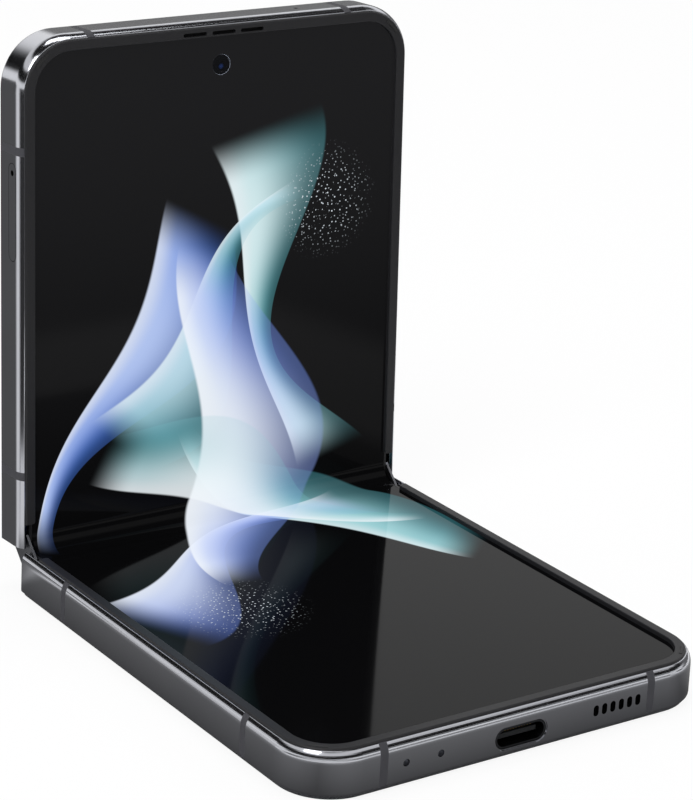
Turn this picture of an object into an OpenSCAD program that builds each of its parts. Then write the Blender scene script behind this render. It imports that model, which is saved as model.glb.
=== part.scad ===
// Foldable smartphone, open at a right angle, all sizes in millimetres.
// Each half is drawn in its own frame: x across, y away from the fold, z up from the back face.
// The spine is drawn as it lies when the phone is fully open, with the fold's centre plane at y = 0.

/* [Overall] */
// Width of the phone
phone_w = 72.2; // [70.5:0.1:76]
// Length of each half from the fold's centre plane
half_l = 81.5; // [80:0.1:87]
// Outer corner radius
corner_r = 8.7; // [8:0.1:10]
// Gap from the fold's centre plane to each frame end
fold_gap = 0.15; // [0.12:0.01:0.25]
// Hairline gap between neighbouring outer pieces
seam = 0.03; // [0.02:0.01:0.06]
// Angle that each half has turned up from flat, at rest
half_fold = 43.8; // [40:0.2:50]

/* [Thicknesses] */
// Back glass
back_glass_t = 0.65; // [0.5:0.05:0.8]
// Clear depth between the back glass and the midplate
cavity_t = 4.9; // [4.85:0.05:5.3]
// Midplate
midplate_t = 0.6; // [0.5:0.05:0.8]
// Metal support plate under the display
display_plate_t = 0.25; // [0.15:0.05:0.35]
// Display panel
panel_t = 0.5; // [0.4:0.05:0.7]
// Height of the bezel above the display
bezel_h = 0.7; // [0.5:0.05:0.9]

/* [Frame] */
// Frame wall
wall_t = 1.1; // [0.95:0.05:1.15]
// Width of the flange that carries the bezel
flange_w = 2.2; // [2.1:0.05:2.25]
// Width of the frame outside the bezel
lip_w = 0.8; // [0.7:0.05:0.9]
// Rise of the frame's lip above the bezel seat
lip_rise = 0.4; // [0.3:0.05:0.5]
// Radius of the shoulder between the flat side and the lip
shoulder_r = 2.7; // [2.4:0.1:3]
// Fillet at the top of the lip
lip_fillet = 0.15; // [0.1:0.01:0.2]
// Fillet of the frame beside the back glass
base_fillet = 0.5; // [0.4:0.05:0.6]
// Rounding of each half's back edge at the fold
fold_edge_r = 1.2; // [0.9:0.1:1.4]
// Width of the frame's cross bar at the fold
fold_bar_w = 1.2; // [1.2:0.1:1.5]
// Setback of the back glass edge from the frame
glass_setback = 0.45; // [0.4:0.05:0.5]
// Rounding of the back glass edge
glass_edge_r = 0.6; // [0.5:0.05:0.65]

/* [Antenna bands] */
// Width of each band
band_w = 1.35; // [1.1:0.05:1.6]
// Distance of the lower half's first side band from the fold
lower_band_near = 13.5; // [12.5:0.1:16]
// Distance of the upper half's first side band from the fold
upper_band_near = 12; // [11:0.1:14]
// Distance of the lower half's second side band from the start of the corner
lower_band_in = 8.1; // [6:0.1:9]
// Distance of the upper half's second side band from the start of the corner
upper_band_in = 8.9; // [8:0.1:9]
// Distance of the end bands from the start of the corner
band_end_in = 3.6; // [1.1:0.05:4]

/* [Bezel and display] */
// Distance of the bezel's inner edge from the outer face
bezel_in = 2.5; // [2.45:0.05:2.8]
// Distance from the fold to the bezel's ends
bezel_start = 4.1; // [4:0.1:4.6]
// Rounding of the bezel's outer top edge
bezel_edge_r = 0.3; // [0.15:0.05:0.4]
// Overlap of the bezel on the display
panel_lap = 0.2; // [0.1:0.05:0.3]
// Radius of the front camera's hole in the display
camera_hole_r = 1.65; // [1.4:0.05:1.9]
// Distance of the front camera from the end
camera_from_end = 7.2; // [6.5:0.05:8]
// Width of one earpiece slot
ear_slot_w = 4.3; // [3.6:0.1:4.6]
// Height of one earpiece slot
ear_slot_h = 0.6; // [0.45:0.05:0.6]
// Pitch of the earpiece slots
ear_slot_pitch = 5.3; // [5:0.1:5.6]
// Distance of the earpiece slots from the end
ear_from_end = 1.9; // [1.85:0.05:1.95]
// Distance of a corner bumper from the outer face
bumper_in = 1.2; // [1.15:0.05:1.4]
// Width of a corner bumper
bumper_w = 0.5; // [0.35:0.05:0.6]
// Angle that a corner bumper spans
bumper_angle = 22; // [14:1:30]
// Rise of a corner bumper above the bezel
bumper_rise = 0.06; // [0.03:0.01:0.1]

/* [Ports and holes] */
// Width of the USB-C mouth
usb_w = 8.34; // [8.2:0.02:8.4]
// Height of the USB-C mouth
usb_h = 2.56; // [2.5:0.02:2.6]
// Depth of the USB-C shell
usb_depth = 7.2; // [6.8:0.1:7.6]
// Wall of the USB-C shell
usb_wall = 0.25; // [0.2:0.01:0.28]
// Depth of the USB-C port's centre below the midplate
usb_drop = 2.4; // [2.35:0.01:2.42]
// Width of the USB-C tongue
usb_tongue_w = 6.7; // [6.4:0.1:6.9]
// Thickness of the USB-C tongue
usb_tongue_t = 0.7; // [0.6:0.05:0.8]
// Width of the rim let in round the USB-C mouth
usb_rim = 0.2; // [0.1:0.05:0.25]
// Radius of the two bottom microphone holes
mic_r = 0.55; // [0.3:0.05:0.6]
// Distance of the first bottom microphone hole from the centre line
mic_x1 = 20; // [18.5:0.1:21.5]
// Distance of the second bottom microphone hole from the centre line
mic_x2 = 14.1; // [12.5:0.1:15]
// Height of the microphone holes and speaker slots above the back face
hole_z = 3.65; // [3.4:0.05:4]
// Distance of the top microphone hole from the centre line
top_mic_x = 16.1; // [10:0.1:18]
// Radius of the top microphone hole
top_mic_r = 0.35; // [0.25:0.05:0.45]
// Width of a speaker slot
speaker_slot_w = 0.95; // [0.7:0.05:1]
// Height of a speaker slot
speaker_slot_h = 1.7; // [1.2:0.1:1.8]
// Pitch of the speaker slots
speaker_pitch = 1.56; // [1.4:0.02:1.62]
// Distance of the middle of the speaker slots from the centre line
speaker_x = 17.5; // [17.2:0.1:17.8]

/* [Tray and keys] */
// Length of the SIM tray's head
tray_head_l = 15.4; // [14.8:0.1:16]
// Height of the SIM tray's head
tray_head_h = 2.2; // [2:0.1:2.4]
// Distance of the SIM tray's middle from the end
tray_from_end = 27.4; // [27:0.1:28]
// Height of the SIM tray's middle above the back face
tray_z = 4.75; // [4.6:0.05:4.8]
// Length of the tray behind its head
tray_l = 12; // [11:0.1:13]
// Thickness of the tray plate
tray_t = 0.8; // [0.6:0.05:0.9]
// Radius of the eject hole
eject_r = 0.45; // [0.4:0.05:0.5]
// Distance of the eject hole from the end of the tray's head
eject_in = 1.5; // [1.3:0.1:1.7]
// Clearance all round the tray and the keys
key_gap = 0.08; // [0.06:0.01:0.12]
// Length of the volume key
volume_l = 17.5; // [15:0.1:19]
// Distance of the volume key's middle from the end
volume_from_end = 28.7; // [28.5:0.1:30.5]
// Length of the side key
side_key_l = 14; // [12:0.1:16]
// Distance between the two keys
key_spacing = 6; // [4:0.1:8]
// Height of both keys
key_h = 2; // [1.8:0.1:2.1]
// How far the volume key stands out
volume_out = 0.4; // [0.3:0.05:0.6]
// How far the side key stands out
side_key_out = 0.3; // [0.3:0.05:0.4]
// Travel of both keys
key_travel = 0.25; // [0.2:0.01:0.3]

/* [Hinge] */
// Half the distance between the two fold axes
axis_y = 2.7; // [2.7:0.01:2.75]
// Depth of the fold axes below the display's surface
axis_drop = 0.4; // [0.4:0.01:0.45]
// Outer radius of the spine cover about each fold axis
cover_r = 4.9; // [4.85:0.01:4.95]
// Wall of the spine cover
cover_t = 0.4; // [0.35:0.01:0.4]
// Depth of the spine cover's edges below the fold axes
cover_drop = 2.2; // [2.2:0.01:2.3]
// Clearance between the frame walls and the spine's ends
spine_gap = 0.2; // [0.15:0.01:0.25]
// Thickness of each spine end cap
end_cap_t = 0.4; // [0.35:0.01:0.45]
// Width of the end cap's cross piece
end_cap_w = 4.4; // [4:0.1:4.6]
// Running clearance in the hinge
run_gap = 0.05; // [0.04:0.01:0.06]
// Inner radius of the rotor rail
rail_r = 2.5; // [2.5:0.01:2.55]
// Thickness of the rotor rail
rail_t = 0.9; // [0.8:0.01:0.9]
// Width of each rotor rail
rail_w = 3; // [2.6:0.1:3.2]
// Depth of the top of the hinge's inner blocks below the fold axes
block_drop = 1.95; // [1.95:0.01:2]
// Length of each rotor guide
guide_l = 10; // [9.6:0.1:10.4]
// Distance of each rotor guide's middle from the centre line
guide_x = 25; // [25:0.1:25.6]
// Thickness of the rotor plates
rotor_plate_t = 0.85; // [0.7:0.01:0.87]
// Length of the rotor plates
rotor_l = 7.3; // [7:0.1:8]
// Distance from the fold to the midplate
midplate_start = 7.5; // [7.4:0.1:8]
// Distance from the fold to the display's support plate
plate_start = 2.3; // [2.3:0.05:2.5]

/* [Gears] */
// Teeth on each hinge gear
gear_teeth = 14; // [14:2:14]
// Pitch radius of each hinge gear
gear_r = 1.375; // [1.37:0.001:1.38]
// Height of a tooth above the pitch circle
tooth_add = 0.16; // [0.14:0.01:0.17]
// Depth of a tooth space below the pitch circle
tooth_ded = 0.23; // [0.2:0.01:0.25]
// Width of each gear
gear_w = 2.4; // [2.2:0.1:2.6]
// Radius of each gear pin
pin_r = 0.5; // [0.45:0.01:0.55]
// Clearance between a pin and its gear
pin_gap = 0.03; // [0.02:0.01:0.05]
// Depth of the idler gears' pins below the fold axes
idler_drop = 2.92; // [2.9:0.01:2.93]
// Depth of the arm gears' pins below the fold axes
arm_drop = 2.05; // [2.03:0.01:2.07]
// Thickness of a gear arm's blade
blade_t = 0.55; // [0.4:0.01:0.6]
// Length of a gear arm's blade
blade_l = 6; // [5.6:0.1:6.2]
// Thickness of a gear carrier's wall
carrier_t = 1.4; // [1.2:0.1:1.4]
// Length of a detent spring
spring_l = 5.8; // [5:0.1:6]
// Outer radius of a detent spring
spring_r = 1.15; // [1:0.01:1.2]

/* [Inside] */
// Distance from the lower battery to the end of its half
lower_battery_end = 25; // [23:0.5:29]
// Distance from the upper battery to the end of its half
upper_battery_end = 42; // [41:0.5:45]
// Distance of the batteries from the sides
battery_in = 6.1; // [4.1:0.1:8.1]
// Battery thickness
battery_t = 3.4; // [3:0.05:3.5]
// Distance from the fold to each battery
battery_start = 14.5; // [14:0.1:15]
// Circuit board thickness
board_t = 0.5; // [0.4:0.05:0.55]
// Outer radius of the charging coil
coil_r = 19; // [16:0.5:20]
// Radial width of the charging coil
coil_w = 8; // [6:0.5:9]
// Thickness of the charging coil
coil_t = 0.35; // [0.25:0.05:0.4]
// Length of the vibration motor
motor_l = 10; // [8:0.5:12]
// Width of the vibration motor
motor_w = 8; // [6:0.5:9]
// Height of the vibration motor
motor_h = 2.6; // [2.2:0.05:2.8]
// Radius of a small screw's shank
screw_r = 0.5; // [0.4:0.05:0.55]
// Radius of a small screw's head
screw_head_r = 0.9; // [0.8:0.05:1]
// Height of a small screw's head
screw_head_h = 0.4; // [0.3:0.05:0.45]

/* [Rear] */
// Length of the black cover window at the end of the upper half's back
window_l = 27; // [25:0.1:28]
// Width of the gap between the window and the back glass
window_gap = 0.1; // [0.05:0.01:0.2]
// Distance of the cover display from the side
cover_display_in = 6.9; // [5.9:0.1:8.9]
// Height of the cover display
cover_display_h = 19; // [17:0.5:20]
// Thickness of the cover display
cover_display_t = 0.45; // [0.3:0.05:0.5]
// Radius of a rear camera's ring
ring_r = 5.3; // [5:0.1:5.4]
// Radial width of a rear camera's ring
ring_w = 0.6; // [0.4:0.05:0.8]
// How far a rear camera's ring stands out of the back
ring_out = 0.9; // [0.6:0.05:1.2]
// Depth of a camera lens behind its ring's rim
lens_in = 0.12; // [0.05:0.01:0.2]
// Distance of the rear cameras from the side
rear_camera_in = 10.1; // [9.1:0.1:10.6]
// Distance of the first rear camera from the end
rear_camera_end = 8.6; // [8.4:0.1:9]
// Distance between the rear cameras
rear_camera_pitch = 12.1; // [11.6:0.1:12.4]
// Width of a rear camera's block
camera_block_w = 8.8; // [8:0.1:9.4]
// Radius of the flash lens
flash_r = 1.5; // [1.2:0.05:1.8]

/* [Hidden] */
hw = phone_w / 2;
big = 200;
eps = 0.01;
midplate_z = back_glass_t + cavity_t;
plate_z = midplate_z + midplate_t;
panel_z = plate_z + display_plate_t;
display_z = panel_z + panel_t;
bezel_z = display_z + bezel_h;
lip_z = display_z + lip_rise;
axis_z = display_z - axis_drop;
// the shoulder turns in until the lip's fillet meets it, a little short of the bezel
lip_flat = 0.05;
shoulder_angle = acos((shoulder_r + lip_flat - lip_w) / (shoulder_r - lip_fillet));
flat_top = lip_z - lip_fillet * (1 - sin(shoulder_angle)) - shoulder_r * sin(shoulder_angle);
panel_in = bezel_in - panel_lap;
corner_x = hw - corner_r;
corner_s = half_l - corner_r;
lower_band_far = corner_s - lower_band_in;
upper_band_far = corner_s - upper_band_in;
band_x = corner_x - band_end_in;
// placing: the row's origin lies under the middle of the lower half
half_mid = half_l / 2;
spine_l = phone_w - 2 * (wall_t + spine_gap + end_cap_t);
// the display's fold: an arc as long as the stretch that it makes when flat
fold_rad = half_fold * PI / 180;
fold_corner_s = axis_y - (axis_y - axis_drop * sin(half_fold)) / cos(half_fold);
fold_r = -fold_corner_s / (tan(half_fold) - fold_rad);
fold_s = fold_corner_s + fold_r * tan(half_fold);
fold_corner_z = axis_z - (axis_y - fold_corner_s) * sin(half_fold) + axis_drop * cos(half_fold);
fold_z = fold_corner_z + fold_r / cos(half_fold);
// hinge blocks, from the outside in
cover_top = axis_z - cover_drop;
block_top = axis_z - block_drop;
guide_in = guide_x - guide_l / 2;
cap_top = axis_z - 0.25;
cap_bar_h = 0.55;
cap_stem_w = 1.3;
cap_rib_t = 0.25;
rail_side_gap = 0.1;
rail_web = 1.6;
rail_x1 = guide_x - rail_web / 2 - rail_side_gap - rail_w;
rail_x2 = guide_x + rail_web / 2 + rail_side_gap;
block_r = cover_r - cover_t - 0.1;
guide_screw_y = 1;
guide_screw_head_r = 0.7;
guide_screw_head_h = 0.4;
guide_screw_z = block_top - guide_screw_head_h - 0.1;
cover_floor = axis_z - cover_r + cover_t;
gear_gap = 0.1;
carrier_out = guide_in - 0.2;
gear_out = carrier_out - carrier_t - gear_gap;
gear_in = gear_out - gear_w;
spring_out = gear_in - gear_gap - carrier_t;
spring_in = spring_out - spring_l;
pin_in = spring_in - carrier_t;
boss_r = 0.95;
idler_z = axis_z - idler_drop;
arm_z = axis_z - arm_drop;
idler_y = gear_r;
arm_y = idler_y + sqrt(4 * gear_r * gear_r - (arm_z - idler_z) * (arm_z - idler_z));
mesh_angle = -atan2(arm_z - idler_z, arm_y - idler_y);
tooth_pitch = 360 / gear_teeth;
hub_t = 0.3;
// half angles of a tooth, as shares of a quarter pitch
tooth_tip = 0.42;
tooth_root = 1.12;
// gear phases at rest: lower arm, lower idler, upper idler, upper arm
gear_phase = [mesh_angle, mesh_angle + tooth_pitch / 2, -mesh_angle, -mesh_angle + tooth_pitch / 2];
gear_y = [-arm_y, -idler_y, idler_y, arm_y];
gear_z = [arm_z, idler_z, idler_z, arm_z];
// rotor rail, as angles from the direction of the half's far end towards its back
rail_a0 = 25;
rail_a1 = 150;
rotor_start = axis_y + rail_r * cos(rail_a0);
rotor_end = rotor_start + rotor_l;
rotor_z = midplate_z - rotor_plate_t;
rotor_screw_in = 2.1;
rotor_screw_s = rotor_end - rotor_screw_in;
// guards beside the display's fold
guard_gap = 0.05;
guard_r = 0.5;
guard_x = hw - panel_in + guard_gap;
guard_out = spine_l / 2 - 2 * guard_gap;
guard_z = midplate_z + 0.25;
guard_start = fold_gap + 0.15;
// ports
cut_depth = 3;
usb_z = midplate_z - usb_drop;
usb_out_w = usb_w + 2 * usb_wall;
usb_out_h = usb_h + 2 * usb_wall;
usb_start = half_l - wall_t - usb_depth;
usb_gap = 0.1;
usb_rim_depth = 0.12;
usb_face_in = 0.15;
board_z = usb_z - usb_out_h / 2 - board_t;
board_margin = 1;
board_screw_x = [-hw + 6, 7];
board_screw_in = 1.6;
battery_w = phone_w - 2 * battery_in;
lower_battery_l = half_l - lower_battery_end - battery_start;
upper_battery_l = half_l - upper_battery_end - battery_start;
lower_board_start = half_l - lower_battery_end + 2;
speaker_slots = 6;
speaker_box_l = 16;
speaker_box_w = 12;
speaker_box_h = 2.8;
mesh_t = 0.15;
mesh_ledge = 0.12;
mic_block_w = 3.2;
mic_block_l = 2.6;
motor_in = 1.5;
motor_start = 5;
// tray and keys
tray_plate_drop = 0.45;
card_seat_in = 1.2;
card_seat_floor = 0.25;
tray_s = half_l - tray_from_end;
volume_s = half_l - volume_from_end;
side_key_s = volume_s - (volume_l + side_key_l) / 2 - key_spacing;
tray_plate_z = tray_z - tray_t / 2 - tray_plate_drop;
tray_s0 = tray_s - tray_head_l / 2;
tray_s1 = tray_s + tray_head_l / 2;
eject_s = tray_s1 - eject_in;
tray_plate_s0 = tray_s0 + 0.6;
tray_plate_s1 = eject_s - eject_r - 0.6;
socket_t = 0.2;
key_z = midplate_z - 0.15 - key_h / 2;
key_flange_t = 0.4;
key_flange_top = midplate_z - 0.05;
switch_gap = 0.06;
// main board and upper parts
upper_board_start = half_l - upper_battery_end + 1.5;
main_board_z = back_glass_t + 0.85;
window_s = half_l - window_l;
rear_camera_s = [half_l - rear_camera_end, half_l - rear_camera_end - rear_camera_pitch];
rear_camera_x = hw - rear_camera_in;
flash_in = 8.2;
flash_x = rear_camera_x - flash_in;
cover_display_gap = 4;
cover_display_x = flash_x - cover_display_gap;
cover_display_back = 1;
lens_seat = 0.1;
camera_clear = 2.6;
front_lens_gap = 0.15;
front_lens_drop = 0.2;
board_x1 = rear_camera_x - camera_block_w / 2 - camera_clear;
front_camera_s = half_l - camera_from_end;
front_barrel_r = 2.4;
bumper_r = corner_r - bumper_in - bumper_w;
bumper_depth = 0.35;
bezel_corner_r = 0.5;
ear_s = half_l - ear_from_end;
ear_duct_w = 1.6;
ear_box_l = 15.4;
ear_box_w = 3.2;
ear_box_h = 2.4;

graphite = "#55565c";
band_grey = "#3a3b3e";
bezel_black = "#242426";
glass_grey = "#3d3e42";
display_black = "#08080a";
steel = "#a9abb0";
gold = "#c9a44c";

// ---- placing ----

module in_lower() translate([0, half_mid, 0]) mirror([0, 1, 0]) children();

module in_spine()
    translate([0, half_mid - axis_y, axis_z]) rotate([half_fold, 0, 0])
        translate([0, axis_y, -axis_z]) children();

module in_upper()
    in_spine() translate([0, axis_y, axis_z]) rotate([half_fold, 0, 0])
        translate([0, -axis_y, -axis_z]) children();

// a flat shape in y and z, extruded along x
module along_x(x0, x1) translate([x0, 0, 0]) rotate([90, 0, 90]) linear_extrude(x1 - x0) children();

// a flat shape in x and z, extruded along y
module along_y(y0, y1) translate([0, y1, 0]) rotate([90, 0, 0]) linear_extrude(y1 - y0) children();

module both_sides() {
    children();
    mirror([1, 0, 0]) children();
}

module box(x0, x1, y0, y1, z0, z1) translate([x0, y0, z0]) cube([x1 - x0, y1 - y0, z1 - z0]);

// a slot with round ends, length along x
module stadium(l, h) {
    square([l - h, h], center = true);
    for (side = [-1, 1]) translate([side * (l - h) / 2, 0]) circle(d = h, $fn = 48);
}

function arc(cx, cy, r, a0, a1, n = 6) =
    [for (i = [0:n]) [cx + r * cos(a0 + (a1 - a0) * i / n), cy + r * sin(a0 + (a1 - a0) * i / n)]];

// a ring sector round the origin, from angle a0 to a1, under a half turn
module sector(r0, r1, a0, a1) intersection() {
    difference() {
        circle(r = r1, $fn = 96);
        circle(r = r0, $fn = 96);
    }
    polygon(concat([[0, 0]], [for (i = [0:6]) 2 * r1 * [cos(a0 + (a1 - a0) * i / 6),
        sin(a0 + (a1 - a0) * i / 6)]]));
}

// ---- the rim: a section [distance in from the outer face, height] led round a half ----

module rim_side(points, s0, s1) translate([-hw, 0, 0]) along_y(s0, s1) polygon(points);

module rim_corner(points)
    translate([-corner_x, corner_s, 0]) rotate([0, 0, 90])
        rotate_extrude(angle = 90, $fn = 128) polygon([for (p = points) [corner_r - p[0], p[1]]]);

module rim_end(points, x0, x1)
    translate([x0, half_l, 0]) rotate([0, 0, -90]) along_y(0, x1 - x0) polygon(points);

module rim(points, s0) {
    both_sides() {
        rim_side(points, s0, corner_s);
        rim_corner(points);
    }
    rim_end(points, -corner_x, corner_x);
}

// outline of a half, set in from the outer face, from s0 to the end
module half_outline(inset, s0) {
    translate([-hw + inset, s0]) square([phone_w - 2 * inset, corner_s - s0]);
    translate([-corner_x, s0]) square([2 * corner_x, half_l - inset - s0]);
    for (side = [-1, 1]) translate([side * corner_x, corner_s]) circle(r = corner_r - inset, $fn = 128);
}

module half_plate(inset, s0, z0, t) translate([0, 0, z0]) linear_extrude(t) half_outline(inset, s0);

// ---- frame ----

function wall_points() = concat(
    [[wall_t, back_glass_t]],
    arc(base_fillet, back_glass_t + base_fillet, base_fillet, 270, 180),
    arc(shoulder_r, flat_top, shoulder_r, 180, 180 - shoulder_angle, 10),
    arc(lip_w - lip_flat, lip_z - lip_fillet, lip_fillet, 180 - shoulder_angle, 90, 4),
    [[lip_w, lip_z]],
    [[lip_w, display_z], [wall_t, display_z]]);

function flange_points() =
    [[wall_t, plate_z], [flange_w, plate_z], [flange_w, display_z], [wall_t, display_z]];

module rim_both(s0, s1) {
    rim_side(wall_points(), s0, s1);
    if (s1 > bezel_start) rim_side(flange_points(), max(s0, bezel_start), s1);
}

module frame_pieces(near, far) {
    both_sides() {
        rim_both(fold_gap, near - band_w / 2);
        rim_both(near + band_w / 2, far - band_w / 2);
        for (points = [wall_points(), flange_points()]) {
            rim_side(points, far + band_w / 2, corner_s);
            rim_corner(points);
            rim_end(points, -corner_x, -band_x - band_w / 2);
        }
    }
    for (points = [wall_points(), flange_points()])
        rim_end(points, -band_x + band_w / 2, band_x - band_w / 2);
    // cross bar under the spine at the fold
    both_sides() rim_side(glass_points(glass_rim), fold_gap, fold_gap + fold_bar_w);
    box(-hw + glass_rim, hw - glass_rim, fold_gap, fold_gap + fold_bar_w, 0, back_glass_t);
}

// rounds the back edge of a half at the fold
module fold_edge() difference() {
    box(-hw - 1, hw + 1, fold_gap - 1, fold_gap + fold_edge_r, -1, fold_edge_r);
    translate([0, fold_gap + fold_edge_r, fold_edge_r]) rotate([0, 90, 0])
        cylinder(r = fold_edge_r, h = big, center = true, $fn = 96);
}

// near and far: places of the two side bands, from the fold
module half_frame(near, far) difference() {
    frame_pieces(near, far);
    fold_edge();
}

module antenna_bands(near, far) {
    for (points = [wall_points(), flange_points()]) {
        both_sides() {
            for (s = [near, far]) rim_side(points, s - band_w / 2, s + band_w / 2);
            rim_end(points, band_x - band_w / 2, band_x + band_w / 2);
        }
    }
}

// opening through the end rail, drawn round x = 0 and z = 0
module end_cut(x, z, depth = cut_depth) translate([x, 0, z]) along_y(half_l - depth, half_l + 1) children();

module lower_frame() color(graphite) in_lower() difference() {
    half_frame(lower_band_near, lower_band_far);
    end_cut(0, usb_z) stadium(usb_out_w + 2 * usb_gap, usb_out_h + 2 * usb_gap);
    end_cut(0, usb_z, usb_rim_depth)
        stadium(usb_out_w + 2 * (usb_gap + usb_rim), usb_out_h + 2 * (usb_gap + usb_rim));
    for (x = [-mic_x1, -mic_x2]) end_cut(x, hole_z) circle(r = mic_r, $fn = 32);
    for (i = [0:speaker_slots - 1])
        end_cut(speaker_x + (i - (speaker_slots - 1) / 2) * speaker_pitch, hole_z)
            rotate(90) stadium(speaker_slot_h, speaker_slot_w);
}

module lower_antenna_bands() color(band_grey) in_lower() antenna_bands(lower_band_near, lower_band_far);

module side_cut(s, z, x0, x1) translate([0, s, z]) along_x(x0, x1) children();

module ear_slots(margin, z0, h) for (i = [-1:1]) translate([i * ear_slot_pitch, ear_s, z0])
    linear_extrude(h) stadium(ear_slot_w - 2 * margin, ear_slot_h - 2 * margin);

module upper_frame() color(graphite) in_upper() difference() {
    half_frame(upper_band_near, upper_band_far);
    ear_slots(mesh_ledge, plate_z - 1, 3);
    side_cut(tray_s, tray_z, -hw - 1, -hw + wall_t + 1)
        stadium(tray_head_l + 2 * key_gap, tray_head_h + 2 * key_gap);
    for (key = [[volume_s, volume_l], [side_key_s, side_key_l]])
        side_cut(key[0], key_z, hw - wall_t - 0.2, hw + 1)
            stadium(key[1] + 2 * key_gap, key_h + 2 * key_gap);
    end_cut(top_mic_x, hole_z) circle(r = top_mic_r, $fn = 32);
}

module upper_antenna_bands() color(band_grey) in_upper() antenna_bands(upper_band_near, upper_band_far);

// ---- back glass ----

function glass_points(w) = concat(
    [[w, 0]],
    arc(glass_setback + glass_edge_r, glass_edge_r, glass_edge_r, 270, 180),
    [[glass_setback, back_glass_t], [w, back_glass_t]]);
glass_rim = 1.3;

module glass_plate() {
    rim(glass_points(glass_rim), fold_gap + fold_bar_w);
    half_plate(glass_rim - eps, fold_gap + fold_bar_w, 0, back_glass_t);
}

module lower_back_glass() color(glass_grey) in_lower() glass_plate();

module upper_back_glass() color(glass_grey) in_upper() intersection() {
    glass_plate();
    box(-hw, hw, -1, window_s - window_gap, -1, back_glass_t + 1);
}

module camera_places() for (s = rear_camera_s) translate([rear_camera_x, s, 0]) children();

module cover_window() color("#0b0b0d") in_upper() difference() {
    intersection() {
        glass_plate();
        box(-hw, hw, window_s, half_l, -1, back_glass_t + 1);
    }
    camera_places() translate([0, 0, -1]) cylinder(r = ring_r - ring_w / 2, h = 3, $fn = 96);
    translate([flash_x, rear_camera_s[0], -1]) cylinder(r = flash_r + seam, h = 3, $fn = 64);
}

module cover_display() color(display_black) in_upper()
    translate([0, window_s + window_l / 2 - cover_display_back, 0])
        box(-hw + cover_display_in, cover_display_x, -cover_display_h / 2, cover_display_h / 2,
            back_glass_t, back_glass_t + cover_display_t);

// ---- bezel, display and its plates ----

function bezel_points() = concat(
    [[lip_w + seam, display_z]],
    arc(lip_w + seam + bezel_edge_r, bezel_z - bezel_edge_r, bezel_edge_r, 180, 90, 4),
    arc(bezel_in - bezel_edge_r / 2, bezel_z - bezel_edge_r / 2, bezel_edge_r / 2, 90, 0, 4),
    [[bezel_in, display_z]]);

module bumper_arc(gap) both_sides() translate([corner_x, corner_s, 0])
    linear_extrude(bezel_z + bumper_rise)
        sector(bumper_r - gap, bumper_r + bumper_w + gap, 45 - bumper_angle / 2 - 4 * gap,
            45 + bumper_angle / 2 + 4 * gap);

module bezel() difference() {
    rim(bezel_points(), bezel_start);
    // rounded inner corners of the bezel's ends
    both_sides() difference() {
        box(hw - bezel_in - 1, hw - bezel_in + bezel_corner_r, bezel_start - 1, bezel_start + bezel_corner_r,
            0, bezel_z + 1);
        translate([hw - bezel_in + bezel_corner_r, bezel_start + bezel_corner_r, 0])
            cylinder(r = bezel_corner_r, h = bezel_z + 1, $fn = 48);
    }
    translate([0, 0, bezel_z - bumper_depth]) bumper_arc(seam);
}

module bumpers() intersection() {
    bumper_arc(0);
    box(-hw, hw, 0, half_l, bezel_z - bumper_depth, bezel_z + bumper_rise);
}

module lower_bezel() color(bezel_black) in_lower() bezel();

module upper_bezel() color(bezel_black) in_upper() difference() {
    bezel();
    ear_slots(0, plate_z, 3);
}

module lower_bumpers() color("#161617") in_lower() bumpers();

module upper_bumpers() color("#161617") in_upper() bumpers();

module screw_hole() cylinder(r = screw_r + seam, h = big, center = true, $fn = 24);

module lower_midplate() color("#77797d") in_lower() difference() {
    half_plate(wall_t, midplate_start, midplate_z, midplate_t);
    rotor_screw_places(rail_x1) screw_hole();
    board_screw_places(lower_board_start) screw_hole();
}

module upper_midplate() color("#77797d") in_upper() difference() {
    half_plate(wall_t, midplate_start, midplate_z, midplate_t);
    rotor_screw_places(rail_x2) screw_hole();
    board_screw_places(upper_board_start) screw_hole();
    camera_hole();
    // sound duct of the earpiece
    translate([0, ear_s - ear_duct_w / 2 + ear_slot_h / 2, 0]) linear_extrude(big)
        stadium(ear_box_l - 2, ear_duct_w);
}

module display_plate() half_plate(panel_in, plate_start, plate_z, display_plate_t);

module panel() half_plate(panel_in, fold_s, panel_z, panel_t);

module camera_hole() translate([0, front_camera_s, 0]) cylinder(r = camera_hole_r, h = big, $fn = 64);

module lower_display_plate() color("#8a8c90") in_lower() display_plate();

module upper_display_plate() color("#8a8c90") in_upper() difference() {
    display_plate();
    camera_hole();
}

module display_lower() color(display_black) in_lower() panel();

module display_upper() color(display_black) in_upper() difference() {
    panel();
    camera_hole();
}

module display_fold() color(display_black) in_spine() along_x(-hw + panel_in, hw - panel_in)
    translate([0, fold_z]) sector(fold_r, fold_r + panel_t, 270 - half_fold, 270 + half_fold);

// a strip beside the display's edge, with a round nose towards the fold
module edge_guards() both_sides() along_x(guard_x, guard_out) {
    translate([guard_start + guard_r, guard_z])
        square([bezel_start - guard_start - guard_r, display_z - guard_z]);
    translate([guard_start, guard_z + guard_r]) square([2 * guard_r, display_z - guard_z - 2 * guard_r]);
    for (z = [guard_z + guard_r, display_z - guard_r])
        translate([guard_start + guard_r, z]) circle(r = guard_r, $fn = 48);
}

module lower_edge_guards() color("#1a1a1b") in_lower() edge_guards();

module upper_edge_guards() color("#1a1a1b") in_upper() edge_guards();

// ---- hinge ----

// section of the spine, as two circles about the fold axes with a flat between them
module spine_section(r, top) intersection() {
    union() {
        for (side = [-1, 1]) translate([side * axis_y, axis_z]) circle(r = r, $fn = 128);
        translate([-axis_y, axis_z - r]) square([2 * axis_y, r]);
    }
    translate([-big / 2, -big]) square([big, big + top]);
}

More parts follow.
